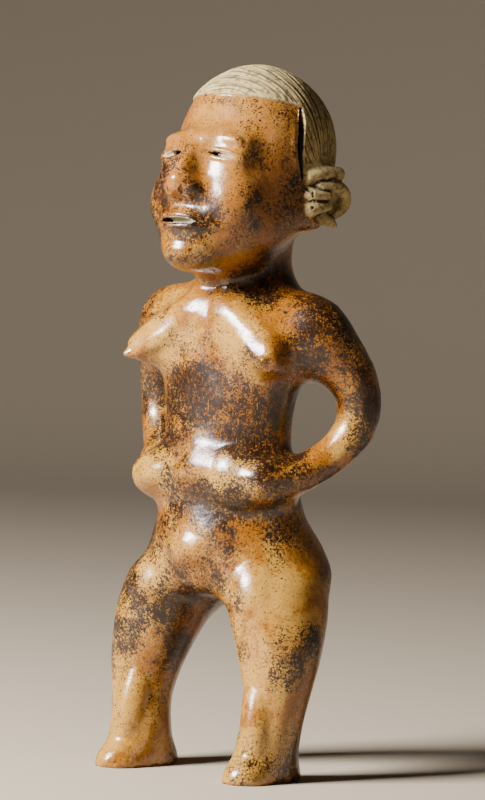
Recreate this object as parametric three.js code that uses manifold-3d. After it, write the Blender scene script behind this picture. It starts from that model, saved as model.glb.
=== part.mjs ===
// Standing female figure of burnished clay, modelled as the one solid that it was fired as.
// Millimetres, +Z up. The figure faces -Y and its left side is +X; it stands on its own two soles at Z 0.
import * as THREE from "three";
import Module from "manifold-3d";
import { mergeVertices } from "three/addons/utils/BufferGeometryUtils.js";

// Driving dimensions
const TORSO_BACK = 12; // the trunk stands this far behind the middle of the feet
const LEAN_LEFT = 0.035; // millimetres to the figure's left for each millimetre of height
const LEAN_FORWARD = 0.045;
const CROTCH_Z = 101;
const BELLY_Z = 166;
const SHOULDER_Z = 247;
const SHOULDER_TILT = 0.03; // the right shoulder is a little higher than the left
const HEAD_CENTRE = [0, 21, 335];
const HEAD_PITCH = THREE.MathUtils.degToRad(13); // the face looks up by this much
const HAIRLINE_Z = 34; // above the middle of the head, in the head's own frame
const NAPE_Z = -24;
const HAIR_THICKNESS = 1.4;
const FOOT_SPREAD = 44; // half the distance between the middles of the soles
const FOOT_TURN = THREE.MathUtils.degToRad(3); // toes point outwards by this much

// Grid that the clay's surface is found on
const BODY_CELL = 8;
const HEAD_CELL = 6;
const HEAD_STARTS_Z = 268;
const GRID_HALF_WIDTH = 102;
const GRID_HALF_DEPTH = 108;
const GRID_TOP_Z = 408;
const BURIED_Z = -28; // the clay runs on below the soles, and is then cut flat
const SHORTEST_EDGE = 0.02;

// Clay rings in each ear: how far each leans from level as they fan round the ear's edge
const RING_LEANS = [50, 17, -17, -50].map(THREE.MathUtils.degToRad);
const RING_RADIUS = 7;
const RING_HALF = 3.2;
const EAR_MIDDLE = [45, 18, -11];
const EAR_REACH = 8; // from the ear's middle to the middle of a ring

// Slots cut in the head, in its own frame: middle, half sizes, and turns about X, Y and Z in degrees
const SLOTS = [
  { at: [0, -50, -42], half: [12, 6, 2], turn: [0, 0, 0] }, // mouth
  { at: [17, -44, -3], half: [8.5, 6, 1.9], turn: [0, 6, 14] }, // left eye
  { at: [-17, -44, -3], half: [8.5, 6, 1.9], turn: [0, -6, -14] }, // right eye
  { at: [41, 0, 10], half: [7, 1.9, 25], turn: [15, 0, 0] }, // left temple
  { at: [-41, 0, 10], half: [7, 1.9, 25], turn: [15, 0, 0] }, // right temple
];

// Every trunk and leg section is an ellipse: height, middle, half width and half depth
const TRUNK = [
  { z: CROTCH_Z, x: 0, y: 20, wide: 48, deep: 31 },
  { z: 110, x: 0, y: 20, wide: 52, deep: 34 },
  { z: 124, x: 0, y: 21, wide: 52, deep: 35 },
  { z: 145, x: 0, y: 20, wide: 45, deep: 32 },
  { z: 166, x: 0, y: 15, wide: 42, deep: 31 },
  { z: 185, x: 0, y: 14, wide: 39, deep: 28 },
  { z: 210, x: 0, y: 15, wide: 41, deep: 28 },
  { z: 235, x: 0, y: 19, wide: 49, deep: 30 },
  { z: 254, x: 0, y: 23, wide: 47, deep: 27 },
  { z: 270, x: 0, y: 27, wide: 28, deep: 21 },
];
const LEG = [
  { z: 0, x: 43, y: 2, wide: 14, deep: 17 },
  { z: 22, x: 46, y: 3, wide: 15.5, deep: 17 },
  { z: 42, x: 47.5, y: 5, wide: 17, deep: 18 },
  { z: 66, x: 45.5, y: 9, wide: 22.5, deep: 23 },
  { z: 90, x: 40, y: 14, wide: 27, deep: 28 },
  { z: 114, x: 33, y: 19, wide: 27.5, deep: 30 },
];

// The arm's line from shoulder to hand, with its half thickness
const ARM = [
  { at: [47, 25, 247], half: 19 },
  { at: [62, 35, 231], half: 16 },
  { at: [69, 41, 213], half: 12.8 },
  { at: [68, 39, 194], half: 11.2 },
  { at: [58, 27, 177], half: 10.3 },
  { at: [49, 12, 168], half: 10 },
  { at: [38, -4, 165], half: 9 },
];
const ARM_STEPS = 14;
const ARM_LINE = new THREE.CatmullRomCurve3(ARM.map(({ at }) => new THREE.Vector3(...at)));
const ARM_BARS = Array.from({ length: ARM_STEPS + 1 }, (_, n) => {
  const t = n / ARM_STEPS;
  const row = Math.min(Math.floor(t * (ARM.length - 1)), ARM.length - 2);
  const half = THREE.MathUtils.lerp(ARM[row].half, ARM[row + 1].half, t * (ARM.length - 1) - row);
  return { at: ARM_LINE.getPoint(t).toArray(), half };
});

const LEAN = new THREE.Matrix4().set(1, 0, LEAN_LEFT, 0, 0, 1, -LEAN_FORWARD, 0, 0, 0, 1, 0, 0, 0, 0, 1);

const clamp = THREE.MathUtils.clamp;
const lerp = THREE.MathUtils.lerp;

// Smaller of two distances, with the crease between them filled over a width of k
function blend(a, b, k) {
  const h = Math.max(k - Math.abs(a - b), 0) / k;
  return Math.min(a, b) - (h * h * k) / 4;
}

// Distance to a tapered bar with round ends
function bar(p, a, b, ra, rb) {
  const ab = [b[0] - a[0], b[1] - a[1], b[2] - a[2]];
  const ap = [p[0] - a[0], p[1] - a[1], p[2] - a[2]];
  const t = clamp(dot(ap, ab) / dot(ab, ab), 0, 1);
  return Math.hypot(ap[0] - ab[0] * t, ap[1] - ab[1] * t, ap[2] - ab[2] * t) - lerp(ra, rb, t);
}

function dot(a, b) {
  return a[0] * b[0] + a[1] * b[1] + a[2] * b[2];
}

// Distance to an ellipsoid, close enough near its surface
function egg(p, centre, radii) {
  const q = [0, 1, 2].map((i) => (p[i] - centre[i]) / radii[i]);
  const g = [0, 1, 2].map((i) => q[i] / radii[i]);
  const k = Math.hypot(...q);
  return (k * (k - 1)) / Math.max(Math.hypot(...g), 1e-6);
}

// Section of a stack of ellipses at one height, on a smooth curve through its rows
function sectionAt(rows, z) {
  let i = 0;
  while (i < rows.length - 2 && z > rows[i + 1].z) i += 1;
  const t = clamp((z - rows[i].z) / (rows[i + 1].z - rows[i].z), 0, 1);
  const [before, from, to, after] = [-1, 0, 1, 2].map((n) => rows[clamp(i + n, 0, rows.length - 1)]);
  const through = (key) => {
    const slopeFrom = (to[key] - before[key]) / (to.z - before.z);
    const slopeTo = (after[key] - from[key]) / (after.z - from.z);
    const span = to.z - from.z;
    const t2 = t * t;
    const t3 = t2 * t;
    return (
      (2 * t3 - 3 * t2 + 1) * from[key] +
      (t3 - 2 * t2 + t) * span * slopeFrom +
      (3 * t2 - 2 * t3) * to[key] +
      (t3 - t2) * span * slopeTo
    );
  };
  return { x: through("x"), y: through("y"), wide: through("wide"), deep: through("deep") };
}

// Distance to a stack of ellipses with closed ends
function column(p, rows) {
  const s = sectionAt(rows, p[2]);
  const dx = (p[0] - s.x) / s.wide;
  const dy = (p[1] - s.y) / s.deep;
  const k = Math.hypot(dx, dy);
  const slope = Math.max(Math.hypot(dx / s.wide, dy / s.deep), 1e-4);
  const side = (k * (k - 1)) / slope;
  const ends = Math.max(rows[0].z - p[2], p[2] - rows[rows.length - 1].z);
  return -blend(-side, -ends, 8);
}

function trunk(p) {
  let d = column(p, TRUNK);
  const side = Math.abs(p[0]);
  const q = [side, p[1], p[2]];
  d = blend(d, bar(q, [12, 27, 262], [48, 25, SHOULDER_Z], 16, 17), 14); // sloping shoulder
  d = blend(d, bar(q, [0, 28, 255], [0, 29, 300], 24, 23), 12); // neck
  d = blend(d, bar(q, [10, -2, 257], [44, -9, 236], 10, 6), 16); // ridge from throat to breast
  d = blend(d, bar(q, [32, 4, 239], [51, -16, 229], 14, 3.5), 9); // breast
  d = blend(d, bar(q, [0, -14, BELLY_Z + 5], [38, -5, BELLY_Z - 2], 8, 8), 12); // fold over the belly
  d = blend(d, egg(q, [0, 2, 132], [28, 20, 24]), 14); // belly below the fold
  d = blend(d, egg(q, [28, 36, 113], [24, 20, 24]), 12); // buttock
  return d;
}

function leg(p) {
  const q = [Math.abs(p[0]), p[1], p[2]];
  return column(q, LEG);
}

function foot(p) {
  const side = Math.abs(p[0]) - FOOT_SPREAD;
  const along = p[1] * Math.cos(FOOT_TURN) - side * Math.sin(FOOT_TURN);
  const across = side * Math.cos(FOOT_TURN) + p[1] * Math.sin(FOOT_TURN);
  const q = [across, along, p[2]];
  const sole = bar(q, [0, 11, 0], [0, -19, -1], 15, 12.5);
  const instep = bar(q, [0, 0, 24], [0, -17, 4], 14, 9);
  return blend(sole, instep, 10);
}

function arm(p) {
  const q = [Math.abs(p[0]), p[1], p[2]];
  let d = 1e3;
  for (let i = 0; i + 1 < ARM_BARS.length; i += 1) {
    const [from, to] = [ARM_BARS[i], ARM_BARS[i + 1]];
    d = blend(d, bar(q, from.at, to.at, from.half, to.half), 1);
  }
  return d;
}

// A point of the figure in the head's own frame: middle of the head, face upright
function intoHead(p) {
  const [x, y, z] = [0, 1, 2].map((i) => p[i] - HEAD_CENTRE[i]);
  const c = Math.cos(HEAD_PITCH);
  const s = Math.sin(HEAD_PITCH);
  return [x, y * c + z * s * -1, z * c + y * s];
}

// How far a point of the head lies inside the hair: behind the temple slots, or over the forehead
function hairDepth([, y, z]) {
  const slotY = -6 + (32 - z) * 0.267;
  return Math.max(z - HAIRLINE_Z, Math.min(y - slotY - 1.5, z - NAPE_Z));
}

function head(p) {
  const h = intoHead(p);
  const q = [Math.abs(h[0]), h[1], h[2]];
  let d = egg(q, [0, 7, 12], [42.5, 44.5, 47]); // skull
  d = blend(d, egg(q, [0, -11, -24], [36, 36, 40]), 16); // face and jaw
  d = blend(d, bar(q, [29, 10, -20], [6, -28, -49], 12, 12), 14); // corner of the jaw
  d -= HAIR_THICKNESS * THREE.MathUtils.smoothstep(hairDepth(q), -1.5, 1.5);
  d = blend(d, bar(q, [5, -42, 7], [27, -34, 5], 4, 3), 9); // brow
  d = blend(d, egg(q, [17, -37, -4], [11, 6, 7]), 6); // eye
  d = blend(d, egg(q, [21, -30, -26], [12, 11, 14]), 12); // cheek
  d = blend(d, bar(q, [0, -43, 3], [0, -55, -22], 4.5, 6.5), 7); // nose
  d = blend(d, egg(q, [7, -50, -24], [5, 6, 5]), 5); // nostril
  d = blend(d, egg(q, [0, -44, -42], [14, 8, 7]), 7); // lips
  d = blend(d, egg(q, [0, -38, -56], [13, 9, 9]), 12); // chin
  d = blend(d, bar(q, [42, 14, 2], [43, 19, -11], 4.5, 5.5), 5); // ear
  return blend(d, bar(q, [43, 19, -11], [42, 14, -26], 5.5, 5.5), 5);
}

function clay(p) {
  const tilt = SHOULDER_TILT * THREE.MathUtils.smoothstep(p[2], BELLY_Z, SHOULDER_Z);
  const q = [p[0], p[1], p[2] + p[0] * tilt];
  const body = blend(trunk(q), blend(leg(p), foot(p), 8), 12);
  return blend(blend(body, arm(q), 14), head(p), 8);
}

// Sizes of the grid's layers, and how far each layer is drawn in towards the figure's middle
function gridLayers() {
  const layers = [];
  for (let z = BURIED_Z; z < GRID_TOP_Z; ) {
    const share = THREE.MathUtils.smoothstep(z, HEAD_STARTS_Z - 20, HEAD_STARTS_Z + 20);
    const cell = lerp(BODY_CELL, HEAD_CELL, share);
    layers.push({ z, scale: cell / BODY_CELL, y: lerp(TORSO_BACK, HEAD_CENTRE[1], share) });
    z += cell;
  }
  return layers;
}

// Surface of the clay: one vertex in each grid cell that the surface crosses, and a face on each crossed edge
function surfaceNet(field) {
  const layers = gridLayers();
  const nx = 2 * Math.ceil(GRID_HALF_WIDTH / BODY_CELL) + 1;
  const ny = 2 * Math.ceil(GRID_HALF_DEPTH / BODY_CELL) + 1;
  const nz = layers.length;
  const middleX = (nx - 1) / 2;
  const middleY = (ny - 1) / 2;
  const place = (i, j, k) => [
    (i - middleX + 0.5) * BODY_CELL * layers[k].scale,
    (j - middleY) * BODY_CELL * layers[k].scale + layers[k].y,
    layers[k].z,
  ];
  const at = (i, j, k) => i + nx * (j + ny * k);
  const value = new Float64Array(nx * ny * nz);
  for (let k = 0; k < nz; k += 1)
    for (let j = 0; j < ny; j += 1)
      for (let i = 0; i < nx; i += 1) value[at(i, j, k)] = field(place(i, j, k));

  const corners = [0, 1, 2, 3, 4, 5, 6, 7].map((n) => [n & 1, (n >> 1) & 1, n >> 2]);
  const edges = [];
  for (let a = 0; a < 8; a += 1) for (const bit of [1, 2, 4]) if (!(a & bit)) edges.push([a, a | bit]);

  const vertices = [];
  const cellVertex = new Map();
  for (let k = 0; k + 1 < nz; k += 1)
    for (let j = 0; j + 1 < ny; j += 1)
      for (let i = 0; i + 1 < nx; i += 1) {
        const values = corners.map(([a, b, c]) => value[at(i + a, j + b, k + c)]);
        if (values.every((v) => v < 0) || values.every((v) => v >= 0)) continue;
        const sum = [0, 0, 0];
        let count = 0;
        for (const [a, b] of edges) {
          if (values[a] < 0 === values[b] < 0) continue;
          const t = values[a] / (values[a] - values[b]);
          const [pa, pb] = [a, b].map((n) => place(i + corners[n][0], j + corners[n][1], k + corners[n][2]));
          for (let n = 0; n < 3; n += 1) sum[n] += lerp(pa[n], pb[n], t);
          count += 1;
        }
        cellVertex.set(at(i, j, k), vertices.length);
        vertices.push(sum.map((v) => v / count));
      }

  const quads = [];
  const axes = [
    [[1, 0, 0], [0, 1, 0], [0, 0, 1]],
    [[0, 1, 0], [0, 0, 1], [1, 0, 0]],
    [[0, 0, 1], [1, 0, 0], [0, 1, 0]],
  ];
  for (let k = 1; k + 1 < nz; k += 1)
    for (let j = 1; j + 1 < ny; j += 1)
      for (let i = 1; i + 1 < nx; i += 1)
        for (const [along, u, v] of axes) {
          const a = value[at(i, j, k)];
          const b = value[at(i + along[0], j + along[1], k + along[2])];
          if (a < 0 === b < 0) continue;
          const ring = [[0, 0], [1, 0], [1, 1], [0, 1]].map(([m, n]) =>
            cellVertex.get(at(i - m * u[0] - n * v[0], j - m * u[1] - n * v[1], k - m * u[2] - n * v[2])),
          );
          quads.push(a < 0 ? ring : ring.reverse());
        }
  return { vertices, quads };
}

function gradient(field, p) {
  const step = 0.05;
  return [0, 1, 2].map((n) => {
    const [more, less] = [step, -step].map((s) => field(p.map((c, m) => (m === n ? c + s : c))));
    return (more - less) / (2 * step);
  });
}

// Evens out the faces, and brings each vertex back onto the surface
function settle({ vertices, quads }, field, rounds) {
  const near = vertices.map(() => new Set());
  for (const quad of quads)
    quad.forEach((v, n) => {
      near[v].add(quad[(n + 1) % 4]);
      near[v].add(quad[(n + 3) % 4]);
    });
  for (let round = 0; round < rounds; round += 1) {
    const middles = vertices.map((v, n) => {
      const sum = [0, 0, 0];
      for (const m of near[n]) vertices[m].forEach((c, axis) => (sum[axis] += c));
      return v.map((c, axis) => lerp(c, sum[axis] / near[n].size, 0.6));
    });
    middles.forEach((p, n) => {
      const g = gradient(field, p);
      const share = field(p) / Math.max(dot(g, g), 0.05);
      vertices[n] = p.map((c, axis) => c - clamp(share * g[axis], -BODY_CELL, BODY_CELL));
    });
  }
}

function netGeometry({ vertices, quads }) {
  const distance = (a, b) => Math.hypot(...vertices[a].map((c, n) => c - vertices[b][n]));
  const index = quads.flatMap(([a, b, c, d]) =>
    distance(a, c) < distance(b, d) ? [a, b, c, a, c, d] : [a, b, d, b, c, d],
  );
  const geometry = new THREE.BufferGeometry();
  geometry.setAttribute("position", new THREE.Float32BufferAttribute(vertices.flat(), 3));
  geometry.setIndex(index);
  return geometry;
}

const wasm = await Module();
wasm.setup();

function solidOf(geometry) {
  const bare = new THREE.BufferGeometry();
  bare.setAttribute("position", geometry.getAttribute("position"));
  bare.setIndex(geometry.getIndex());
  const merged = mergeVertices(bare, 1e-4);
  return new wasm.Manifold(
    new wasm.Mesh({
      numProp: 3,
      vertProperties: new Float32Array(merged.attributes.position.array),
      triVerts: new Uint32Array(merged.index.array),
    }),
  );
}

function geometryOf(solid) {
  const mesh = solid.getMesh();
  const geometry = new THREE.BufferGeometry();
  geometry.setAttribute("position", new THREE.BufferAttribute(new Float32Array(mesh.vertProperties), 3));
  geometry.setIndex(new THREE.BufferAttribute(new Uint32Array(mesh.triVerts), 1));
  return geometry;
}

// Moves a geometry from the head's own frame to the figure's
function ontoHead(geometry) {
  return geometry.rotateX(-HEAD_PITCH).translate(...HEAD_CENTRE);
}

function earRing(side, lean) {
  const [x, y, z] = EAR_MIDDLE;
  const ring = new THREE.TorusGeometry(RING_RADIUS, RING_HALF, 6, 13);
  ring.rotateX(lean);
  ring.translate(side * x, y + EAR_REACH * Math.cos(lean), z + EAR_REACH * Math.sin(lean));
  return ontoHead(ring);
}

function slot({ at, half, turn }) {
  const lens = new THREE.IcosahedronGeometry(1, 1);
  lens.scale(...half);
  const [x, y, z] = turn.map(THREE.MathUtils.degToRad);
  lens.rotateX(x);
  lens.rotateY(y);
  lens.rotateZ(z);
  lens.translate(...at);
  return ontoHead(lens);
}

function buildFigure() {
  const net = surfaceNet(clay);
  settle(net, clay, 6);
  let figure = solidOf(netGeometry(net));
  for (const side of [-1, 1])
    for (const lean of RING_LEANS) figure = figure.add(solidOf(earRing(side, lean)));
  for (const row of SLOTS) figure = figure.subtract(solidOf(slot(row)));
  const floor = new THREE.BoxGeometry(400, 400, 60).translate(0, 0, -30);
  const geometry = geometryOf(figure.subtract(solidOf(floor)).simplify(SHORTEST_EDGE));
  geometry.applyMatrix4(LEAN);

  geometry.computeBoundingBox();
  const middle = geometry.boundingBox.getCenter(new THREE.Vector3());
  return geometry.translate(-middle.x, -middle.y, 0);
}

const part = new THREE.Group();
const figure = new THREE.Mesh(
  buildFigure(),
  new THREE.MeshStandardMaterial({ color: 0xa8743a, roughness: 0.35, metalness: 0 }),
);
figure.name = "figure";
part.add(figure);
export default part;
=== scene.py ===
"""Standing female figure of burnished clay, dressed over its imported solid.

Run as a script. The sidebar panel lists the steps in the order that a potter takes them.
"""

import math

import bpy
import numpy as np
from bpy.props import FloatProperty, FloatVectorProperty, PointerProperty
from mathutils import Euler, Matrix, Vector


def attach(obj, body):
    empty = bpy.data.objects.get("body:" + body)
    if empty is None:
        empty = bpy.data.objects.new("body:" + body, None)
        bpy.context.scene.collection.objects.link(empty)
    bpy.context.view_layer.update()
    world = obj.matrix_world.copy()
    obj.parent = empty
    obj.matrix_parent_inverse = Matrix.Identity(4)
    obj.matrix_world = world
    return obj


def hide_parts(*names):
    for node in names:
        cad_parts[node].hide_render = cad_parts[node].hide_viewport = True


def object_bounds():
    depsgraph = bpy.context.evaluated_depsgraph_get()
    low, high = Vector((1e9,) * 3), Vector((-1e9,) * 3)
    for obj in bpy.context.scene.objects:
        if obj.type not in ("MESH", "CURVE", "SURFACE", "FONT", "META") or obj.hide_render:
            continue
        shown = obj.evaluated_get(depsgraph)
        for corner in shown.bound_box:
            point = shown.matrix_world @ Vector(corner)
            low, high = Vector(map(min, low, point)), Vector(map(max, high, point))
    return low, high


bl_info = {
    "name": "Burnished clay figure",
    "version": (1, 0, 0),
    "blender": (4, 5, 0),
    "location": "View3D > Sidebar > Figure",
    "description": "Models, combs, pierces and burnishes a standing clay figure over its solid",
    "category": "Add Mesh",
}

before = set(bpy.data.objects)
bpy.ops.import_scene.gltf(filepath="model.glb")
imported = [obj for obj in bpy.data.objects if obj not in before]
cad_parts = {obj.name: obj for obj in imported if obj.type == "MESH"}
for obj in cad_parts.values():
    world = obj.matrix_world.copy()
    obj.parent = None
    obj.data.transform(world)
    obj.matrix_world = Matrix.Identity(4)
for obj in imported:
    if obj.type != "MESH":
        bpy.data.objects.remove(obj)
CAD_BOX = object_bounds()

MM = 0.001
FIGURE = "clay_figure"

# The head has its own frame in millimetres, with its middle at the origin and its face to -Y
HEAD_MIDDLE = Vector((0.0, 21.0, 335.0))
HEAD_PITCH = math.radians(13)
LEAN_LEFT = 0.035
LEAN_FORWARD = 0.045
PLAN_MIDDLE = Vector((7.418, 1.168, 0.0))
LEAN = Matrix(((1, 0, LEAN_LEFT, 0), (0, 1, -LEAN_FORWARD, 0), (0, 0, 1, 0), (0, 0, 0, 1)))
HEAD = (
    Matrix.Scale(MM, 4)
    @ Matrix.Translation(-PLAN_MIDDLE)
    @ LEAN
    @ Matrix.Translation(HEAD_MIDDLE)
    @ Matrix.Rotation(-HEAD_PITCH, 4, "X")
)
NECK_HEIGHT = 0.272

# Points closer than these are one point: in the copied solid, and along the cut slots
LOOSE_POINTS = 0.00001
SLIVERS = 0.00005
# Smoothing by the first factor shrinks the body, and by the second swells it back
SMOOTHING = 0.5
SWELLING = -0.53
THINNED_BODY = 0.88  # the share of the faces below the neck that is thinned out

# Places and sizes in the head's frame, in millimetres. A slot's size is half its length
# and half its height, and turns and slants are those of the left side.
HAIRLINE = 34.0
NAPE = -24.0
SIDEBURN = -11.0
EYE_MIDDLE = (17.0, -45.0, -3.0)
EYE_SIZE = (8.2, 1.6)
EYE_SLANT = math.radians(6)
EYE_TURN = math.radians(14)
MOUTH_MIDDLE = (0.0, -51.0, -42.0)
MOUTH_SIZE = (11.5, 2.0)
NOSTRIL = (4.6, -56.5, -27.5)
TEMPLE_MIDDLE = (42.0, 0.0, 10.5)
TEMPLE_SIZE = (2.2, 25.5)
TEMPLE_SLANT = math.radians(15)
SKULL = ((0, 7, 12), (42.5, 44.5, 47))
NOSE_LEAN = -math.atan2(12, 25)
# Middle, radii and turn about each axis of the nose, its tip, the lips and the chin
MIDDLE_LUMPS = [
    ((0, -50, -9), (4.6, 5.4, 18), (NOSE_LEAN, 0, 0)),
    ((0, -55, -21), (6.0, 6.0, 5.4), (0, 0, 0)),
    ((0, -46, -42), (13, 6.5, 7), (0, 0, 0)),
    ((0, -43, -57), (11, 6.5, 7), (0, 0, 0)),
]
# Middle, radii and slant of the left one of each pair: the nostril wings and the brows
PAIRED_LUMPS = [
    ((6.2, -50.5, -23.5), (4.6, 5.6, 4.4), 0),
    ((15, -38.5, 6.5), (12, 5, 4.5), 0.12),
]
EAR_MIDDLE = (21.0, -9.0)
# Middle and radii of the bed cut for the left ear, and of the pad of clay in it
EAR_BED = ((54.0, 22.0, -9.0), (14.0, 22.0, 22.0))
EAR_PAD = ((38.0, 19.0, -9.0), (6.0, 13.0, 15.0))
# Each coil of the left ear is a run of places, each with the radius of the clay there
EAR_COILS = [
    [((42.0, 5.0, -1.5), 3.6), ((45.5, 12.0, 2.0), 4.3), ((46.0, 24.0, 4.5), 4.2)],
    [
        ((45.5, 12.0, -5.2), 3.0), ((47.5, 18.0, -3.4), 3.5), ((47.5, 28.0, -2.6), 3.6),
        ((45.5, 35.5, -5.5), 3.4), ((45.0, 36.0, -12.5), 3.2), ((43.0, 31.0, -16.5), 3.0),
    ],
    [((44.0, 7.0, -11.5), 3.5), ((47.0, 12.0, -11.0), 3.2), ((48.0, 17.0, -10.0), 2.6)],
    [((43.5, 9.5, -18.5), 4.2), ((47.0, 14.0, -16.5), 3.4), ((47.5, 19.0, -15.0), 2.6)],
    [((42.5, 15.0, -23.5), 3.4), ((45.5, 22.5, -20.5), 3.9), ((44.5, 31.0, -23.0), 2.0)],
]
COIL_STEPS = 6  # how many close-set places stand for each place of a coil
EAR_HOLES = [(46.3, 4.4, -11.2), (46.3, 6.4, -18.8)]
# The combed strands turn round this place in y and z, and are measured at this radius
HAIR_TURNS_ROUND = (16.0, -8.0)
CROWN_RADIUS = 52.0
# Fine painted lines in the hair, as cells of noise for each millimetre across and along
LINES_ACROSS = 1.5
LINES_ALONG = 0.07

# Places on the body, in millimetres from the middle of the floor.
# The chest ridges run from beside the breastbone down to the tips of the breasts.
RIDGE_RADII = (12.0, 4.8)
NIPPLE_RADII = (3.4, 2.2)
CHEST_RIDGES = [
    ((-9.0, -12.5, 253.5), (-45.5, -26.0, 231.4)),
    ((11.0, -12.0, 252.5), (44.2, -25.0, 232.4)),
]
NIPPLES = [
    ((-46.0, -26.4, 231.6), (-48.0, -29.0, 231.0)),
    ((46.0, -25.2, 232.0), (47.0, -27.8, 231.6)),
]
# Start and end of each added roll of clay, with the radius at both
BODY_ROLLS = [
    ((1.0, -10.5, 257.0), (1.0, -12.5, 243.0), 14.0, 12.0),
    ((-35.0, -20.0, 164.0), (-22.0, -19.5, 169.5), 8.0, 8.0),
    ((16.0, -7.0, 167.0), (19.0, -6.8, 166.0), 22.0, 22.0),
    ((-9.0, -13.0, 127.0), (-1.0, -13.0, 126.0), 16.0, 16.0),
    ((-40.0, -4.5, 101.0), (-30.0, -1.0, 109.0), 18.0, 18.0),
    ((27.0, -2.0, 111.0), (34.0, -5.5, 98.0), 18.0, 17.5),
    ((-47.5, -6.5, 62.0), (-50.5, -16.5, 16.0), 9.5, 9.5),
    ((38.0, -6.0, 62.0), (41.0, -16.5, 16.0), 9.5, 9.5),
    ((-71.0, 31.0, 214.0), (-68.5, 24.5, 188.0), 9.5, 9.5),
]
# Hollows and chips have a middle and a radius, and depths are in millimetres too
BELLY_DIP = ((-6.0, -26.0, 171.5), 9.0)  # between the two lobes of the fold
BELLY_DIP_DEPTH = 2.0
TOE_NOTCH = (-45.1, -30.0, 3.9)
TOE_NOTCH_DEPTH = 1.6
PIT_DEPTH = 0.8
CHIP_SLOPE = 0.3  # depth of a chip for each millimetre of its radius
HAND_WAVES = 0.35  # height of the soft waves that hands leave in clay
FOOT_CHIPS = [
    ((41.0, -31.5, 2.5), 3.2), ((34.0, -29.5, 1.6), 2.4), ((46.5, -29.0, 2.2), 2.6),
    ((-38.0, -27.0, 1.2), 2.0), ((52.0, -20.0, 1.4), 2.4),
]
PITS = [
    ((44.9, -7.1, 257.8), 1.5), ((22.7, -18.7, 135.4), 1.7), ((30.0, -12.0, 256.0), 0.9),
    ((-47.0, -19.0, 60.0), 1.0), ((38.5, -14.0, 44.0), 0.9), ((61.0, 2.0, 236.0), 1.0),
]
# Middle, radius and strength of the paler and of the darker places in the slip, partly painted
# highlight and shade
# Some paler places are painted highlight: on the chest ridges, the breastbone, the belly lobes,
# the lower belly and the right thigh; the rest are paler slip and wear on the feet.
PALE_AND_HIGHLIGHT_PLACES = [
    ((-28.0, -26.0, 247.0), 20.0, 1.0), ((27.0, -26.0, 247.0), 20.0, 1.0),
    ((20.0, -26.0, 170.0), 14.0, 0.9), ((-28.0, -26.0, 169.0), 14.0, 0.8),
    ((50.0, -8.0, 104.0), 26.0, 1.0), ((-33.0, -19.0, 109.0), 15.0, 0.7),
    ((64.0, 14.0, 192.0), 16.0, 0.7), ((42.0, -16.0, 52.0), 24.0, 0.8),
    ((-1.0, -26.0, 132.0), 12.0, 0.7), ((-50.0, -18.0, 34.0), 24.0, 0.8),
    ((40.0, -20.0, 8.0), 30.0, 1.0), ((-50.0, -20.0, 6.0), 30.0, 0.9),
    ((26.0, -12.0, 84.0), 20.0, 0.6), ((10.0, -26.0, 360.0), 24.0, 1.0),
    ((-46.0, -12.0, 82.0), 16.0, 0.5), ((-10.0, -24.0, 244.0), 16.0, 0.7),
]
# Some darker places are painted shade: under the chin and the chest, round the left armpit and
# upper arm, under the belly fold, in the crotch and between the thighs; the rest are stains.
STAIN_AND_SHADE_PLACES = [
    ((-2.0, -23.0, 218.0), 28.0, 1.0), ((30.0, -17.0, 205.0), 26.0, 1.0),
    ((22.0, -19.0, 147.0), 24.0, 1.0), ((68.0, 4.0, 248.0), 26.0, 0.8),
    ((78.0, 22.0, 212.0), 26.0, 0.8), ((59.0, -6.0, 64.0), 12.0, 0.6),
    ((20.0, 0.0, 270.0), 22.0, 0.8), ((-15.0, 2.0, 96.0), 22.0, 0.8),
    ((-26.0, 0.0, 70.0), 18.0, 0.9), ((0.0, 34.0, 210.0), 34.0, 0.6),
    ((-60.0, 10.0, 235.0), 20.0, 0.5), ((0.0, 26.0, 130.0), 30.0, 0.4),
    ((56.0, -4.0, 229.0), 18.0, 1.5), ((46.0, 0.0, 205.0), 20.0, 1.4),
    ((10.0, -22.0, 152.0), 16.0, 1.1), ((-6.0, -6.0, 104.0), 12.0, 0.8),
]
# Noise scale of each layer of specks, and its limits where stains and painted shade are sparse
# and crowded
SPECK_LAYERS = [(220, 0.72, 0.50), (480, 0.62, 0.45), (1000, 0.565, 0.43)]
# Near-black painted shade inside the eye, mouth and temple slots, and in the pits
SHADE_INSIDE_HOLES = (0.008, 0.005, 0.003)

# The floor lies flat to this radius in metres, and curves up beyond it
FLAT_FLOOR = 2.5
FLOOR_CURVE = 0.35
FLOOR_WIDTH = 14
FLOOR_CELLS = 96
# Place, width and power of each softbox, in metres and watts
KEY_SOFTBOX = ((-0.56, -1.44, 1.03), 0.6, 190)
FILL_SOFTBOX = ((1.6, -0.9, 0.5), 1.4, 0.5)
LIGHTS_AIM_AT = (0, 0, 0.2)


def length_property(name, description, default):
    return FloatProperty(name=name, description=description, default=default, unit="LENGTH")


def colour_property(name, description, default):
    return FloatVectorProperty(
        name=name, description=description, default=default,
        subtype="COLOR", size=3, min=0, max=1,
    )


class FigureSizes(bpy.types.PropertyGroup):
    rough_cell: length_property(
        "Rough cell", "Cell of the first modelling of the body", 0.002,
    )
    fine_cell: length_property(
        "Fine cell", "Cell of the mesh that joins the added clay", 0.00135,
    )
    seam_depth: length_property(
        "Seam depth", "How deep the seams between the coils of an ear are", 0.0012,
    )
    hair_step: length_property(
        "Hair step", "How far the hair stands up from the forehead", 0.0011,
    )
    comb_pitch: length_property(
        "Comb pitch", "Distance between two fine comb grooves over the crown", 0.0027,
    )
    comb_depth: length_property(
        "Comb depth", "Depth of the deepest comb grooves", 0.0008,
    )
    rim_height: length_property(
        "Rim height", "How far the eyelids and lips stand up round their slots", 0.0009,
    )


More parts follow.
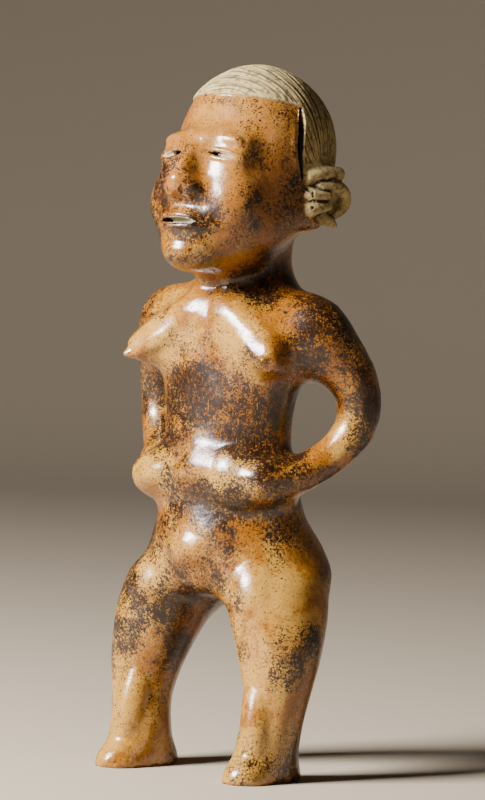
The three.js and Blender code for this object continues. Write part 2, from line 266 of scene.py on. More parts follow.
class ClayColours(bpy.types.PropertyGroup):
    cream: colour_property("Cream slip", "Palest slip of the body", (0.36, 0.185, 0.032))
    orange: colour_property("Orange slip", "Warm slip of the body", (0.20, 0.066, 0.003))
    # Brown also stands for painted shade where the darker places lie in shade.
    brown: colour_property("Brown slip", "Slip where it is stained", (0.036, 0.009, 0.001))
    # Manganese also paints shade in the hair grooves, the ear seams and the darkest shaded
    # places.
    manganese: colour_property("Manganese", "Dark specks and stains", (0.010, 0.004, 0.002))
    hair: colour_property("Hair slip", "Pale dry slip on the hair", (0.44, 0.33, 0.125))
    forehead: colour_property("Forehead slip", "Rosy slip of the face", (0.33, 0.14, 0.038))
    deposit: colour_property("Deposit", "Chalky deposit in the slots", (0.24, 0.215, 0.135))
    floor: colour_property("Floor", "Plain studio floor", (0.37, 0.30, 0.22))


def select_only(obj):
    bpy.ops.object.select_all(action="DESELECT")
    obj.select_set(True)
    bpy.context.view_layer.objects.active = obj


def figure():
    obj = bpy.data.objects.get(FIGURE)
    if obj is None:
        raise RuntimeError("the rough body has to be modelled first")
    return obj


def finish_with(obj, kind, **settings):
    """Adds one modifier with these settings and applies it."""
    select_only(obj)
    modifier = obj.modifiers.new(kind.title(), kind)
    for name, value in settings.items():
        setattr(modifier, name, value)
    bpy.ops.object.modifier_apply(modifier=modifier.name)


def weld(obj, distance):
    """Merges points that lie closer together than this."""
    select_only(obj)
    bpy.ops.object.mode_set(mode="EDIT")
    bpy.ops.mesh.select_all(action="SELECT")
    bpy.ops.mesh.remove_doubles(threshold=distance)
    bpy.ops.object.mode_set(mode="OBJECT")


def smooth_keeping_size(obj, rounds):
    """Takes off small facets, and swells back by as much as each smoothing shrinks."""
    for _ in range(rounds):
        finish_with(obj, "SMOOTH", factor=SMOOTHING, iterations=1)
        finish_with(obj, "SMOOTH", factor=SWELLING, iterations=1)


def points_of(mesh):
    flat = np.empty(len(mesh.vertices) * 3)
    mesh.vertices.foreach_get("co", flat)
    return flat.reshape(-1, 3)


def set_points(mesh, points):
    mesh.vertices.foreach_set("co", points.ravel())
    mesh.update()


def lift(mesh, height):
    """Moves each point out along its normal by its height in millimetres."""
    flat = np.empty(len(mesh.vertices) * 3)
    mesh.vertices.foreach_get("normal", flat)
    normals = flat.reshape(-1, 3)
    set_points(mesh, points_of(mesh) + normals * height[:, None] * MM)


def paint(mesh, name, values):
    """Keeps one value for each point of the mesh, for the material to read."""
    layer = mesh.attributes.new(name, "FLOAT", "POINT")
    layer.data.foreach_set("value", values.astype(np.float32))


def in_head(points):
    """Points of the figure in the head's own frame."""
    back = np.array(HEAD.inverted())
    return points @ back[:3, :3].T + back[:3, 3]


def smoothstep(value, low, high):
    share = np.clip((value - low) / (high - low), 0, 1)
    return share * share * (3 - 2 * share)


def bell(distance, width):
    return np.exp(-((distance / width) ** 2))


def spot(points, middle, radius):
    """One at the middle of a round place, and nearly nothing a radius and a half away."""
    return bell(np.linalg.norm(points / MM - np.array(middle), axis=1), radius)


def join_into_figure(pieces):
    select_only(figure())
    for piece in pieces:
        piece.select_set(True)
    bpy.ops.object.join()


def round_ball():
    bpy.ops.object.select_all(action="DESELECT")
    bpy.ops.mesh.primitive_uv_sphere_add(segments=32, ring_count=16, radius=1)
    return bpy.context.object


def ball_in_head(middle, radii, turn=(0, 0, 0)):
    """An egg of clay with its place, radii and turn in the head's frame."""
    ball = round_ball()
    ball.data.transform(HEAD @ Matrix.LocRotScale(Vector(middle), Euler(turn), Vector(radii)))
    return ball


def roll_of_clay(start, end, start_radius, end_radius):
    """A tapering roll of clay between two places on the body, in millimetres."""
    ball = round_ball()
    start = Vector(start)
    end = Vector(end)
    along = end - start
    turn = along.to_track_quat("Z", "Y").to_matrix()
    for vertex in ball.data.vertices:
        share = (vertex.co.z + 1) / 2
        radius = start_radius + (end_radius - start_radius) * share
        offset = turn @ (vertex.co * radius)
        vertex.co = (start + along * share + offset) * MM
    return ball


def temple_slot_y(z):
    """Where the middle of the temple slots lies: leaning forwards, and bowed in the middle."""
    leaning = -6 + (32 - z) * 0.267
    bow = 5 * bell(z - 10, 15)
    return leaning - bow


def hair_depth(head):
    """Millimetres inside the hair: behind the temple slots, or over the forehead."""
    _, y, z = head.T
    lower_edge = SIDEBURN + (NAPE - SIDEBURN) * smoothstep(y, 26, 34)
    behind_slot = y - temple_slot_y(z) - 0.8
    return np.maximum(z - HAIRLINE, np.minimum(behind_slot, z - lower_edge))


def coil_runs():
    """Close-set places along each coil of the left ear, with the radius at each."""
    runs = []
    for coil in EAR_COILS:
        places = np.array([place for place, _ in coil])
        radii = np.array([radius for _, radius in coil])
        count = np.linspace(0, len(coil) - 1, len(coil) * COIL_STEPS)
        along = np.arange(len(coil))
        middles = np.stack([np.interp(count, along, places[:, axis]) for axis in range(3)], 1)
        runs.append((middles, np.interp(count, along, radii)))
    return runs


def from_ear_coils(head):
    """Millimetres from the two nearest ear coils, for each point of the head."""
    left = np.abs(head[:, :1])
    folded = np.concatenate([left, head[:, 1:]], axis=1)
    outside = []
    for middles, radii in coil_runs():
        away = np.linalg.norm(folded[:, None, :] - middles[None, :, :], axis=2) - radii
        outside.append(away.min(axis=1))
    nearest = np.sort(np.array(outside), axis=0)
    return nearest[0], nearest[1]


def near_ear(head, least_x, reach):
    """Which points lie this far out to a side, and this close to the middle of an ear."""
    x, y, z = head.T
    middle_y, middle_z = EAR_MIDDLE
    return (np.abs(x) > least_x) & (np.hypot(y - middle_y, z - middle_z) < reach)


def on_ear(head):
    """One on the coils of the ears, and nothing on the skull."""
    out = np.zeros(len(head))
    near = near_ear(head, 34, 28)
    nearest, _ = from_ear_coils(head[near])
    out[near] = 1 - smoothstep(nearest, 0.6, 1.6)
    return out


def slot_ring(head, middle, size, side, slant=0.0, turn=0.0):
    """Along and across a slot of the face, and the egg-shaped distance from its middle."""
    x, y, z = middle
    away = head - np.array((side * x, y, z))
    local = away @ np.array(Euler((0, side * slant, side * turn)).to_matrix())
    along = local[:, 0]
    across = local[:, 2]
    return along, across, np.hypot(along / size[0], across / size[1])


class FIGURE_OT_rough_body(bpy.types.Operator):
    """Copies the solid, fills its slots and works the facets into one smooth body"""
    bl_idname = "figure.rough_body"
    bl_label = "Rough Body"

    def execute(self, context):
        sizes = context.scene.figure_sizes
        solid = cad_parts["figure"]
        body = bpy.data.objects.new(FIGURE, solid.data.copy())
        context.scene.collection.objects.link(body)
        body.data.materials.clear()
        weld(body, LOOSE_POINTS)
        plugs = []
        for side in (1, -1):
            x, y, z = EYE_MIDDLE
            turn = (0, 0, side * EYE_TURN)
            plugs.append(ball_in_head((side * x, y + 7, z), (11, 5.5, 4), turn))
            x, y, z = TEMPLE_MIDDLE
            plugs.append(ball_in_head((side * (x - 9), y, z), (8.5, 5, 28), (TEMPLE_SLANT, 0, 0)))
        x, y, z = MOUTH_MIDDLE
        plugs.append(ball_in_head((x, y + 8, z), (15, 7, 4.5)))
        join_into_figure(plugs)
        finish_with(body, "REMESH", mode="VOXEL", voxel_size=sizes.rough_cell)
        smooth_keeping_size(body, 16)
        return {"FINISHED"}


class FIGURE_OT_chest_and_belly(bpy.types.Operator):
    """Pinches up the chest ridges, and adds clay on the belly, the legs and a forearm"""
    bl_idname = "figure.chest_and_belly"
    bl_label = "Chest, Belly and Legs"

    def execute(self, context):
        added = []
        for top, tip in CHEST_RIDGES:
            added.append(roll_of_clay(top, tip, *RIDGE_RADII))
        for root, tip in NIPPLES:
            added.append(roll_of_clay(root, tip, *NIPPLE_RADII))
        for start, end, start_radius, end_radius in BODY_ROLLS:
            added.append(roll_of_clay(start, end, start_radius, end_radius))
        join_into_figure(added)
        return {"FINISHED"}


class FIGURE_OT_face(bpy.types.Operator):
    """Adds the clay of the nose, the lips and the chin"""
    bl_idname = "figure.face"
    bl_label = "Nose, Lips and Chin"

    def execute(self, context):
        added = [ball_in_head(*lump) for lump in MIDDLE_LUMPS]
        for side in (1, -1):
            for (x, y, z), radii, slant in PAIRED_LUMPS:
                added.append(ball_in_head((side * x, y, z), radii, (0, side * slant, 0)))
        join_into_figure(added)
        return {"FINISHED"}


class FIGURE_OT_ear_coils(bpy.types.Operator):
    """Clears a bed for each ear, and presses thick coils and two lobes of clay on it"""
    bl_idname = "figure.ear_coils"
    bl_label = "Ear Coils"

    def execute(self, context):
        body = figure()
        added = []
        for side in (1, -1):
            middle, radii = EAR_BED
            bed = ball_in_head((side * middle[0], *middle[1:]), radii)
            finish_with(body, "BOOLEAN", operation="DIFFERENCE", object=bed, solver="MANIFOLD")
            bpy.data.objects.remove(bed)
            middle, radii = EAR_PAD
            added.append(ball_in_head((side * middle[0], *middle[1:]), radii))
            for coil in EAR_COILS:
                added.append(self.coil(coil, side))
                for (x, y, z), radius in (coil[0], coil[-1]):
                    added.append(ball_in_head((side * x, y, z), (radius, radius, radius)))
        join_into_figure(added)
        return {"FINISHED"}

    def coil(self, places, side):
        """A curved roll of clay through its places, made a closed mesh."""
        curve = bpy.data.curves.new("ear_coil", "CURVE")
        curve.dimensions = "3D"
        curve.bevel_depth = 1
        curve.bevel_resolution = 6
        curve.use_fill_caps = True
        spline = curve.splines.new("NURBS")
        spline.points.add(len(places) - 1)
        spline.order_u = 3
        spline.use_endpoint_u = True
        spline.resolution_u = 8
        for point, ((x, y, z), radius) in zip(spline.points, places):
            point.co = (side * x, y, z, 1)
            point.radius = radius
        coil = bpy.data.objects.new("ear_coil", curve)
        bpy.context.scene.collection.objects.link(coil)
        select_only(coil)
        bpy.ops.object.convert(target="MESH")
        coil = bpy.context.object
        bpy.ops.object.mode_set(mode="EDIT")
        bpy.ops.mesh.select_all(action="SELECT")
        bpy.ops.mesh.remove_doubles(threshold=0.001)
        bpy.ops.mesh.normals_make_consistent(inside=False)
        bpy.ops.object.mode_set(mode="OBJECT")
        coil.data.transform(HEAD)
        return coil


class FIGURE_OT_join_clay(bpy.types.Operator):
    """Works the added clay into the body"""
    bl_idname = "figure.join_clay"
    bl_label = "Join the Clay"

    def execute(self, context):
        body = figure()
        fine = context.scene.figure_sizes.fine_cell
        finish_with(body, "REMESH", mode="VOXEL", voxel_size=fine)
        smooth_keeping_size(body, 8)
        finish_with(body, "SMOOTH", factor=SMOOTHING, iterations=2)
        return {"FINISHED"}


class FIGURE_OT_pierce(bpy.types.Operator):
    """Cuts the eyes, the mouth and the temple slots, and pricks the nostrils and ears"""
    bl_idname = "figure.pierce"
    bl_label = "Pierce the Slots"

    def execute(self, context):
        body = figure()
        for cutter in self.cutters():
            finish_with(body, "BOOLEAN", operation="DIFFERENCE", object=cutter, solver="MANIFOLD")
            bpy.data.objects.remove(cutter)
        weld(body, SLIVERS)
        return {"FINISHED"}

    def cutters(self):
        for side in (1, -1):
            x, y, z = EYE_MIDDLE
            turn = (0, side * EYE_SLANT, side * EYE_TURN)
            long, high = EYE_SIZE
            yield ball_in_head((side * x, y - 0.5, z), (long, 3.4, high), turn)
            yield ball_in_head((side * (x - 4.5), y - 1, z + 0.4), (3.4, 8.5, high * 0.85), turn)
            yield self.temple_cutter(side)
            x, y, z = NOSTRIL
            yield ball_in_head((side * x, y, z), (1.5, 2.2, 3.4), (0.5, 0, 0))
            for x, y, z in EAR_HOLES:
                yield ball_in_head((side * x, y, z), (4, 0.9, 0.9), (0, 0, side * -0.9))
        x, y, z = MOUTH_MIDDLE
        long, high = MOUTH_SIZE
        yield ball_in_head((x, y, z), (long, 4.6, high))
        yield ball_in_head((x - 7.5, y, z + 0.3), (3.4, 9.5, high * 0.85))

    def temple_cutter(self, side):
        """A thin upright egg, bent along the slot in front of an ear."""
        x, _, z = TEMPLE_MIDDLE
        thin, tall = TEMPLE_SIZE
        cutter = round_ball()
        for vertex in cutter.data.vertices:
            high = z + tall * vertex.co.z
            vertex.co = (
                side * (x + 14 * vertex.co.x),
                temple_slot_y(high) + thin * vertex.co.y * side,
                high,
            )
        cutter.data.transform(HEAD)
        return cutter


class FIGURE_OT_mesh_density(bpy.types.Operator):
    """Thins the plain body and refines the hair and the face for their finer work"""
    bl_idname = "figure.mesh_density"
    bl_label = "Mesh Density"

    def execute(self, context):
        body = figure()
        self.thin_below_neck(body)
        self.refine_head(body)
        return {"FINISHED"}

    def thin_below_neck(self, body):
        heights = points_of(body.data)[:, 2]
        group = body.vertex_groups.new(name="below_neck")
        below = np.nonzero(heights < NECK_HEIGHT)[0].tolist()
        group.add(below, 1.0, "REPLACE")
        share = len(below) / len(heights)
        kept = 1 - share * THINNED_BODY
        finish_with(body, "DECIMATE", ratio=kept, vertex_group=group.name)
        body.vertex_groups.clear()

    def refine_head(self, body):
        mesh = body.data
        middles = np.empty(len(mesh.polygons) * 3)
        mesh.polygons.foreach_get("center", middles)
        head = in_head(middles.reshape(-1, 3))
        x, y, z = head.T
        hair = (hair_depth(head) > -2.0) & (z > NAPE - 3) & (on_ear(head) < 0.5)
        face = (np.abs(x) < 29) & (y < -34) & (z < 5) & (z > -50)
        select_only(body)
        bpy.ops.object.mode_set(mode="EDIT")
        bpy.ops.mesh.select_mode(type="FACE")
        bpy.ops.mesh.select_all(action="DESELECT")
        bpy.ops.object.mode_set(mode="OBJECT")
        mesh.polygons.foreach_set("select", hair | face)
        bpy.ops.object.mode_set(mode="EDIT")
        bpy.ops.mesh.subdivide(number_cuts=1, smoothness=0)
        bpy.ops.object.mode_set(mode="OBJECT")


class FIGURE_OT_comb_hair(bpy.types.Operator):
    """Raises the cap of hair and combs it in grooves that turn round the ears"""
    bl_idname = "figure.comb_hair"
    bl_label = "Comb the Hair"

    def execute(self, context):
        sizes = context.scene.figure_sizes
        mesh = figure().data
        head = in_head(points_of(mesh))
        depth = hair_depth(head)
        ear = on_ear(head)
        above = smoothstep(head[:, 2], NAPE - 12, NAPE - 6) * (1 - ear)
        step = (smoothstep(depth, -0.5, 0.5) - 0.5) * np.exp(-np.abs(depth) / 4)
        lift(mesh, step * sizes.hair_step / MM * above)
        valleys = self.grooves(head, sizes.comb_pitch / MM) * smoothstep(depth, 0.8, 2.6)
        valleys *= 1 - ear
        seams = self.seams(head)
        grooves = valleys * sizes.comb_depth + seams * sizes.seam_depth
        lift(mesh, -grooves / MM)
        paint(mesh, "hair", np.maximum(smoothstep(depth, -0.3, 0.5) * above, ear))
        # Painted shade for the comb grooves and the ear seams, which the material lays on
        # near-black
        paint(mesh, "groove_shade", np.maximum(valleys, seams))
        across, reach = self.strands(head)
        paint(mesh, "strand", across * LINES_ACROSS)
        paint(mesh, "strand_run", reach * LINES_ALONG)
        return {"FINISHED"}

    def seams(self, head):
        """Where two coils of an ear meet."""
        seams = np.zeros(len(head))
        near = near_ear(head, 38, 26)
        first, second = from_ear_coils(head[near])
        seams[near] = bell(second - first, 1.1) * (1 - smoothstep(second, 1.5, 3.0))
        return seams

    def strands(self, head):
        """Millimetres across the combed strands, and out from the place that they turn round."""
        x, y, z = head.T
        middle_y, middle_z = HAIR_TURNS_ROUND
        turned = np.arctan2(z - middle_z, middle_y - y) * CROWN_RADIUS
        sway = 1.1 * np.sin(x / 17 + turned / 9)
        tremble = 0.45 * np.sin(x / 5.3 - turned / 4)
        return turned + sway + tremble, np.hypot(y - middle_y, z - middle_z)

    def grooves(self, head, pitch):
        """How deep the comb has gone: few bold grooves, strongest at the sides, and fine ones."""
        x = head[:, 0]
        wavy, reach = self.strands(head)
        side = smoothstep(np.abs(x), 24, 37)
        bold = self.valley(wavy / pitch * 0.7, 0.2, x)
        fine = self.valley(wavy / pitch + 0.3, 0.24, -x)
        deepest = np.maximum(bold * (0.45 + 0.55 * side), fine * (0.75 - 0.2 * side))
        return deepest * smoothstep(reach, 9, 24)

    def valley(self, count, width, x):
        """One valley for each whole count, some pressed harder than others."""
        number = np.floor(count)
        across = count - number - 0.5
        strength = 0.62 + 0.38 * np.sin(number * 2.7 + x / 12)
        return bell(across, width) * strength


class FIGURE_OT_rims(bpy.types.Operator):
    """Raises the eyelids, the lips and the front edge of the temple slots"""
    bl_idname = "figure.rims"
    bl_label = "Lids and Lips"

    def execute(self, context):
        high = context.scene.figure_sizes.rim_height / MM
        mesh = figure().data
        head = in_head(points_of(mesh))
        x, y, z = head.T
        in_front = smoothstep(-y, 34, 38)
        rims = np.zeros(len(head))
        chalk = np.zeros(len(head))
        # The hollow share marks where shade is painted inside the slots
        hollow_shade = np.zeros(len(head))
        for side in (1, -1):
            along, across, ring = slot_ring(
                head, EYE_MIDDLE, EYE_SIZE, side, EYE_SLANT, EYE_TURN,
            )
            upper = 1 + 0.25 * smoothstep(across, -1, 1)
            rims += bell(ring - 1.5, 0.5) * upper
            outer = smoothstep(along * side, -1.5, 1.5)
            chalk = np.maximum(chalk, (1 - smoothstep(ring, 0.9, 1.35)) * outer)
            hollow_shade = np.maximum(hollow_shade, (1 - smoothstep(ring, 0.9, 1.05)) * (1 - outer))
        along, across, ring = slot_ring(head, MOUTH_MIDDLE, MOUTH_SIZE, 1)
        rims += 1.25 * bell(ring - 1.55, 0.5)
        outer = smoothstep(along, -6.5, -4)
        chalk = np.maximum(chalk, (1 - smoothstep(ring, 0.9, 1.3)) * outer)
        hollow_shade = np.maximum(hollow_shade, (1 - smoothstep(ring, 0.9, 1.05)) * (1 - outer))
        slot_y = temple_slot_y(z)
        temple = smoothstep(np.abs(x), 28, 32) * bell(z - 10, 19)
        rims += 0.8 * bell(y - slot_y + 4.2, 1.7) * temple
        lift(mesh, rims * np.maximum(in_front, temple) * high)
        slot = (1 - smoothstep(np.abs(y - slot_y), 2.0, 2.7)) * (np.abs(z - 10) < 26)
        middle, radii = SKULL
        skull = np.linalg.norm((head - middle) / radii, axis=1)
        hollow_shade = np.maximum(hollow_shade, slot * (1 - smoothstep(skull, 0.97, 0.995)))
        paint(mesh, "chalk", chalk * in_front)
        paint(mesh, "hollow_shade", hollow_shade)
        return {"FINISHED"}


class FIGURE_OT_wear_shade_and_highlight(bpy.types.Operator):
    """Chips the toes, pits the body and keeps where the slip is paler and darker, partly as
    painted highlight and shade
    """
    bl_idname = "figure.wear"
    bl_label = "Chips, Pits, Stains and Painted Light"

    def execute(self, context):
        mesh = figure().data
        points = points_of(mesh)
        x, y, z = (points / MM).T
        dents = TOE_NOTCH_DEPTH * spot(points, TOE_NOTCH, 1.3)
        for place, radius in FOOT_CHIPS:
            ragged = 0.7 + 0.3 * np.sin(x * 2.1 + 1) * np.sin(y * 1.7) * np.sin(z * 2.3)
            dents += CHIP_SLOPE * radius * spot(points, place, radius) * ragged
        pitted = np.zeros(len(points))
        for place, radius in PITS:
            pitted = np.maximum(pitted, spot(points, place, radius))
        waves = np.sin(x / 13 + z / 21) * np.sin(y / 11 - z / 17) * np.sin(z / 15 + x / 19)
        hand_made = HAND_WAVES * waves * smoothstep(z, 4, 20)
        dents += BELLY_DIP_DEPTH * spot(points, *BELLY_DIP)
        lift(mesh, hand_made - dents - PIT_DEPTH * pitted)
        # Painted shade inside the pits and the toe notch
        paint(mesh, "pitted", np.maximum(pitted, spot(points, TOE_NOTCH, 1.2)))
        # Paler places, partly painted highlight, and darker places, partly painted shade, for the
        # material
        paint(mesh, "pale_and_highlight", self.shares(points, PALE_AND_HIGHLIGHT_PLACES))
        paint(mesh, "stain_and_shade", self.shares(points, STAIN_AND_SHADE_PLACES))
        return {"FINISHED"}

    def shares(self, points, places):
        """The strongest of these round places at each point."""
        total = np.zeros(len(points))
        for middle, radius, strength in places:
            total = np.maximum(total, strength * spot(points, middle, radius))
        return total


class FIGURE_OT_stand_in_box(bpy.types.Operator):
    """Flattens the soles on the floor and keeps the figure in the solid's box"""
    bl_idname = "figure.stand_in_box"
    bl_label = "Stand in the Box"

    def execute(self, context):
        mesh = figure().data
        points = points_of(mesh)
        points[:, 2] = np.maximum(points[:, 2], 0)
        low, high = (np.array(corner) for corner in CAD_BOX)
        lowest = points.min(axis=0)
        highest = points.max(axis=0)
        new_low = np.maximum(low, lowest)
        new_high = np.minimum(high, highest)
        share = (points - lowest) / (highest - lowest)
        set_points(mesh, new_low + share * (new_high - new_low))
        return {"FINISHED"}


class NodeBench:
    """Small helpers that wire the clay's nodes, on the object's own coordinates."""

    def __init__(self, material):
        material.use_nodes = True
        self.tree = material.node_tree
        self.shader = self.tree.nodes["Principled BSDF"]
        self.place = self.add("ShaderNodeTexCoord").outputs["Object"]

    def add(self, kind, **settings):
        node = self.tree.nodes.new(kind)
        for name, value in settings.items():
            setattr(node, name, value)
        return node

    def feed(self, value, socket):
        """Wires a node's output into the socket, or sets a plain value on it."""
        if isinstance(value, bpy.types.NodeSocket):
            self.tree.links.new(value, socket)
        else:
            socket.default_value = value

    def noise(self, scale, detail=4.0, roughness=0.6, distortion=0.0, place=None):
        node = self.add("ShaderNodeTexNoise")
        self.feed(place or self.place, node.inputs["Vector"])
        node.inputs["Scale"].default_value = scale
        node.inputs["Detail"].default_value = detail
        node.inputs["Roughness"].default_value = roughness
        node.inputs["Distortion"].default_value = distortion
        return node.outputs["Fac"]

    def stretched(self, scale):
        node = self.add("ShaderNodeMapping")
        self.feed(self.place, node.inputs["Vector"])
        node.inputs["Scale"].default_value = scale
        return node.outputs["Vector"]

    def height(self):
        node = self.add("ShaderNodeSeparateXYZ")
        self.feed(self.place, node.inputs["Vector"])
        return node.outputs["Z"]

    def painted(self, name):
        return self.add("ShaderNodeAttribute", attribute_name=name).outputs["Fac"]

    def reach(self, value, low, high, new_low=0.0, new_high=1.0):
        """Eases from the new low to the new high while the value goes from low to high."""
        node = self.add("ShaderNodeMapRange", interpolation_type="SMOOTHSTEP")
        self.feed(value, node.inputs["Value"])
        self.feed(low, node.inputs["From Min"])
        self.feed(high, node.inputs["From Max"])
        node.inputs["To Min"].default_value = new_low
        node.inputs["To Max"].default_value = new_high
        return node.outputs["Result"]

    def calculate(self, kind, first, second):
        node = self.add("ShaderNodeMath", operation=kind)
        self.feed(first, node.inputs[0])
        self.feed(second, node.inputs[1])
        return node.outputs["Value"]

    def plus(self, first, second):
        return self.calculate("ADD", first, second)

    def minus(self, first, second):
        return self.calculate("SUBTRACT", first, second)

    def times(self, first, second):
        return self.calculate("MULTIPLY", first, second)

    def larger(self, first, second):
        return self.calculate("MAXIMUM", first, second)

    def mix(self, share, under, over):
        node = self.add("ShaderNodeMix", data_type="RGBA")
        self.feed(share, node.inputs["Factor"])
        self.feed(self.rgba(under), node.inputs["A"])
        self.feed(self.rgba(over), node.inputs["B"])
        return node.outputs["Result"]

    def rgba(self, colour):
        if isinstance(colour, bpy.types.NodeSocket):
            return colour
        return (*colour, 1)

    def bump(self, height, strength, distance, under=None):
        node = self.add("ShaderNodeBump")
        self.feed(height, node.inputs["Height"])
        node.inputs["Strength"].default_value = strength
        node.inputs["Distance"].default_value = distance
        if under is not None:
            self.feed(under, node.inputs["Normal"])
        return node.outputs["Normal"]


class FIGURE_OT_burnish(bpy.types.Operator):
    """Gives the figure its burnished mottled slip, dry combed hair and chalky slots"""
    bl_idname = "figure.burnish"
    bl_label = "Burnished Slip"

    def execute(self, context):
        body = figure()
        colours = context.scene.clay_colours
        material = bpy.data.materials.new("burnished_slip")
        bench = NodeBench(material)
        hair = bench.painted("hair")
        chalk = self.chalk(bench)
        stain_and_shade = self.stain_and_shade_share(bench)
        slip = self.slip_colour(bench, colours, stain_and_shade)
        combed = self.hair_colour(bench, colours)
        colour = bench.mix(hair, slip, combed)
        colour = bench.mix(chalk, colour, colours.deposit)
        # Painted shade, near-black, inside the slots and the pits
        shaded_holes = bench.larger(bench.painted("hollow_shade"), bench.painted("pitted"))
        colour = bench.mix(bench.reach(shaded_holes, 0.25, 0.8), colour, SHADE_INSIDE_HOLES)
        bench.feed(colour, bench.shader.inputs["Base Color"])
        bench.shader.inputs["Specular IOR Level"].default_value = 0.65
        bench.feed(self.roughness(bench, stain_and_shade, hair, chalk), bench.shader.inputs["Roughness"])
        bench.feed(self.relief(bench, hair, chalk), bench.shader.inputs["Normal"])
        body.data.materials.clear()
        body.data.materials.append(material)
        faces = len(body.data.polygons)
        body.data.polygons.foreach_set("material_index", [0] * faces)
        body.data.polygons.foreach_set("use_smooth", [True] * faces)
        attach(body, "root")
        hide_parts("figure")
        return {"FINISHED"}

    def chalk(self, bench):
        """The share of chalky deposit, with a ragged edge."""
        ragged = bench.noise(420, 5, 0.7)
        near = bench.plus(bench.times(bench.painted("chalk"), 0.75), ragged)
        return bench.reach(near, 0.98, 1.2)

    def stain_and_shade_share(self, bench):
        """The share of dark stain and painted shade: clouds, ragged blotches and fine specks."""
        clouds = bench.noise(32, 6, 0.62)
        # Specks crowd in the darker places, partly painted shade, and thin out in the paler
        # places, partly painted highlight.
        stain_shade_and_highlight_zones = bench.minus(bench.painted("stain_and_shade"), bench.painted("pale_and_highlight"))
        crowding = bench.plus(clouds, bench.times(stain_shade_and_highlight_zones, 0.15))
        total = None
        for scale, sparse, crowded in SPECK_LAYERS:
            limit = bench.reach(crowding, 0.34, 0.66, sparse, crowded)
            speck = bench.noise(scale, 5, 0.72, 0.3)
            speck = bench.reach(speck, limit, bench.plus(limit, 0.07))
            total = speck if total is None else bench.larger(total, speck)
        stain_and_shade_wash = bench.reach(crowding, 0.42, 0.8, 0.0, 0.42)
        return bench.larger(bench.times(total, 0.9), stain_and_shade_wash)

    def slip_colour(self, bench, colours, stain_and_shade):
        """Cream over orange in clouds, paler in the painted highlights, a rosier face, brown and
        black stains and painted shade, pale scratches.
        """
        clouds = bench.noise(34, 5, 0.6, 0.4)
        # Cream rises in the paler places, partly painted highlight.
        clouds = bench.plus(clouds, bench.times(bench.painted("pale_and_highlight"), 0.28))
        streaks = bench.noise(150, 6, 0.7, 0.3)
        flecks = bench.noise(420, 6, 0.75, 0.2)
        fine = bench.plus(bench.times(streaks, 0.45), bench.times(flecks, 0.4))
        share = bench.plus(clouds, fine)
        slip = bench.mix(bench.reach(share, 0.88, 1.16), colours.orange, colours.cream)
        face = bench.reach(bench.height(), 0.300, 0.330)
        smooth_face = bench.mix(bench.reach(streaks, 0.3, 0.7), colours.forehead, colours.orange)
        slip = bench.mix(bench.times(face, 0.7), slip, smooth_face)
        # Brown and black slip are laid where the stains and the painted shade are.
        brown = bench.reach(stain_and_shade, 0.0, 0.75)
        slip = bench.mix(brown, slip, colours.brown)
        black = bench.reach(bench.plus(stain_and_shade, bench.noise(260, 6, 0.75)), 1.15, 1.45)
        slip = bench.mix(black, slip, colours.manganese)
        scratches = bench.noise(90, 2, 0.5, 0, bench.stretched((14, 14, 2)))
        scratched = bench.reach(scratches, 0.66, 0.72, 0.0, 0.35)
        return bench.mix(scratched, slip, colours.cream)

    def strand_lines(self, bench):
        """Noise drawn out along the combed strands."""
        along = bench.add("ShaderNodeCombineXYZ")
        bench.feed(bench.painted("strand"), along.inputs["X"])
        bench.feed(bench.painted("strand_run"), along.inputs["Y"])
        return bench.noise(1.0, 4, 0.7, 0.0, along.outputs["Vector"])

    def hair_colour(self, bench, colours):
        """Pale dry slip with grime in patches and along the strands, and painted shade in the
        grooves and ear seams.
        """
        grime = bench.noise(240, 6, 0.75)
        hair = bench.mix(bench.reach(grime, 0.44, 0.66, 0.0, 0.85), colours.hair, colours.brown)
        lines = bench.reach(self.strand_lines(bench), 0.46, 0.64, 0.0, 0.75)
        hair = bench.mix(lines, hair, colours.brown)
        # Near-black painted shade in the comb grooves and ear seams
        groove_shade = bench.reach(bench.painted("groove_shade"), 0.15, 0.75, 0.0, 0.95)
        return bench.mix(groove_shade, hair, colours.manganese)

    def roughness(self, bench, stain_and_shade, hair, chalk):
        """Glossy where the slip is burnished, a little duller on stains, dry on the hair."""
        worn = bench.noise(75, 5, 0.65)
        gloss = bench.reach(worn, 0.3, 0.75, 0.19, 0.30)
        gloss = bench.plus(gloss, bench.times(stain_and_shade, 0.06))
        dry = bench.larger(hair, chalk)
        return bench.larger(gloss, bench.times(dry, 0.85))

    def relief(self, bench, hair, chalk):
        """Bumps under a millimetre: grain, burnishing facets, scars, grit and strands."""
        grain = bench.noise(900, 4, 0.7)
        relief = bench.bump(grain, 0.15, 0.0002)
        facets = bench.noise(190, 3, 0.55)
        relief = bench.bump(facets, 0.34, 0.0007, relief)
        scars = bench.noise(520, 3, 0.6)
        relief = bench.bump(scars, 0.22, 0.0004, relief)
        dry = bench.larger(hair, chalk)
        grit = bench.times(bench.noise(1300, 4, 0.8), dry)
        relief = bench.bump(grit, 0.5, 0.0005, relief)
        combed = bench.times(self.strand_lines(bench), hair)
        return bench.bump(combed, -0.5, 0.0006, relief)


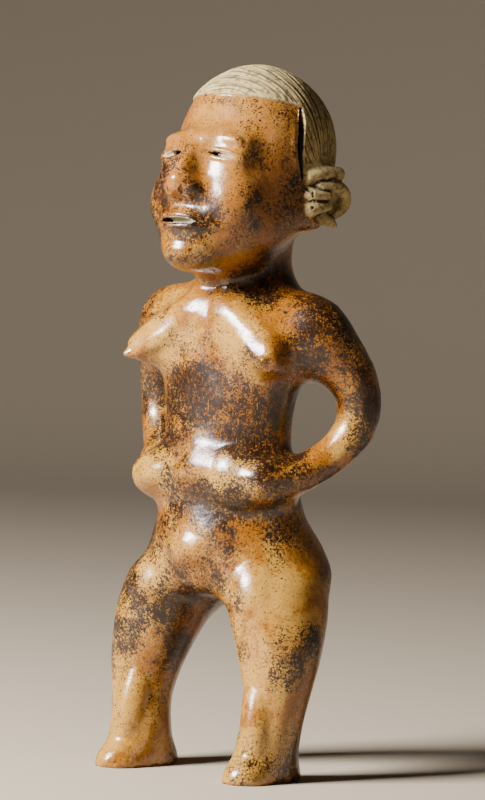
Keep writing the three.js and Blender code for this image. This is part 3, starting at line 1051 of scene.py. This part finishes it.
class FIGURE_OT_stage(bpy.types.Operator):
    """Sets the pale floor, the soft studio lights and the camera"""
    bl_idname = "figure.stage"
    bl_label = "Studio Stage"

    def execute(self, context):
        bpy.ops.object.select_all(action="DESELECT")
        bpy.ops.mesh.primitive_grid_add(
            x_subdivisions=FLOOR_CELLS, y_subdivisions=FLOOR_CELLS, size=FLOOR_WIDTH,
        )
        floor = context.object
        floor.name = "studio_floor"
        points = points_of(floor.data)
        beyond = np.maximum(np.hypot(points[:, 0], points[:, 1]) - FLAT_FLOOR, 0)
        points[:, 2] = FLOOR_CURVE * beyond**2
        set_points(floor.data, points)
        bpy.ops.object.shade_smooth()
        floor.data.materials.append(self.plain_floor(context.scene.clay_colours))
        self.light("key_softbox", *KEY_SOFTBOX)
        self.light("fill_softbox", *FILL_SOFTBOX)
        self.sky(context.scene)
        self.camera(context.scene)
        return {"FINISHED"}

    def plain_floor(self, colours):
        material = bpy.data.materials.new("studio_floor")
        material.use_nodes = True
        shader = material.node_tree.nodes["Principled BSDF"]
        shader.inputs["Base Color"].default_value = (*colours.floor, 1)
        shader.inputs["Roughness"].default_value = 0.9
        return material

    def light(self, name, place, width, watts):
        bpy.ops.object.light_add(type="AREA", location=place)
        lamp = bpy.context.object
        lamp.name = name
        lamp.data.size = width
        lamp.data.energy = watts
        towards = Vector(LIGHTS_AIM_AT) - Vector(place)
        lamp.rotation_euler = towards.to_track_quat("-Z", "Y").to_euler()

    def sky(self, scene):
        world = bpy.data.worlds.new("studio_sky")
        world.use_nodes = True
        background = world.node_tree.nodes["Background"]
        background.inputs["Color"].default_value = (1.0, 0.93, 0.84, 1)
        background.inputs["Strength"].default_value = 0.03
        scene.world = world

    def camera(self, scene):
        azimuth = math.radians(38)
        elevation = math.radians(2.3)
        roll = math.radians(2)
        distance = 2.2
        target = Vector((0.0118, 0.0004, 0.208))
        back = Vector((
            math.sin(azimuth) * math.cos(elevation),
            -math.cos(azimuth) * math.cos(elevation),
            math.sin(elevation),
        ))
        bpy.ops.object.camera_add(location=target + back * distance)
        camera = bpy.context.object
        upright = (-back).to_track_quat("-Z", "Y").to_matrix().to_4x4()
        turned = upright @ Matrix.Rotation(roll, 4, "Z")
        camera.rotation_euler = turned.to_euler()
        camera.data.sensor_fit = "VERTICAL"
        camera.data.sensor_height = 36
        camera.data.lens = 179.6
        camera.data.clip_end = 50
        scene.camera = camera


STEPS = [
    FIGURE_OT_rough_body,
    FIGURE_OT_ear_coils,
    FIGURE_OT_chest_and_belly,
    FIGURE_OT_face,
    FIGURE_OT_join_clay,
    FIGURE_OT_pierce,
    FIGURE_OT_mesh_density,
    FIGURE_OT_comb_hair,
    FIGURE_OT_rims,
    FIGURE_OT_wear_shade_and_highlight,
    FIGURE_OT_stand_in_box,
    FIGURE_OT_burnish,
    FIGURE_OT_stage,
]


class FIGURE_PT_steps(bpy.types.Panel):
    bl_idname = "FIGURE_PT_steps"
    bl_label = "Clay Figure"
    bl_space_type = "VIEW_3D"
    bl_region_type = "UI"
    bl_category = "Figure"

    def draw(self, context):
        for group in (context.scene.figure_sizes, context.scene.clay_colours):
            for name in group.__annotations__:
                self.layout.prop(group, name)
        for step in STEPS:
            self.layout.operator(step.bl_idname)


CLASSES = [FigureSizes, ClayColours, *STEPS, FIGURE_PT_steps]


def register():
    for each in CLASSES:
        bpy.utils.register_class(each)
    bpy.types.Scene.figure_sizes = PointerProperty(type=FigureSizes)
    bpy.types.Scene.clay_colours = PointerProperty(type=ClayColours)


def unregister():
    del bpy.types.Scene.clay_colours
    del bpy.types.Scene.figure_sizes
    for each in reversed(CLASSES):
        bpy.utils.unregister_class(each)


def main():
    register()
    bpy.ops.figure.rough_body()
    bpy.ops.figure.ear_coils()
    bpy.ops.figure.chest_and_belly()
    bpy.ops.figure.face()
    bpy.ops.figure.join_clay()
    bpy.ops.figure.pierce()
    bpy.ops.figure.mesh_density()
    bpy.ops.figure.comb_hair()
    bpy.ops.figure.rims()
    bpy.ops.figure.wear()
    bpy.ops.figure.stand_in_box()
    bpy.ops.figure.burnish()
    bpy.ops.figure.stage()


if __name__ == "__main__":
    main()
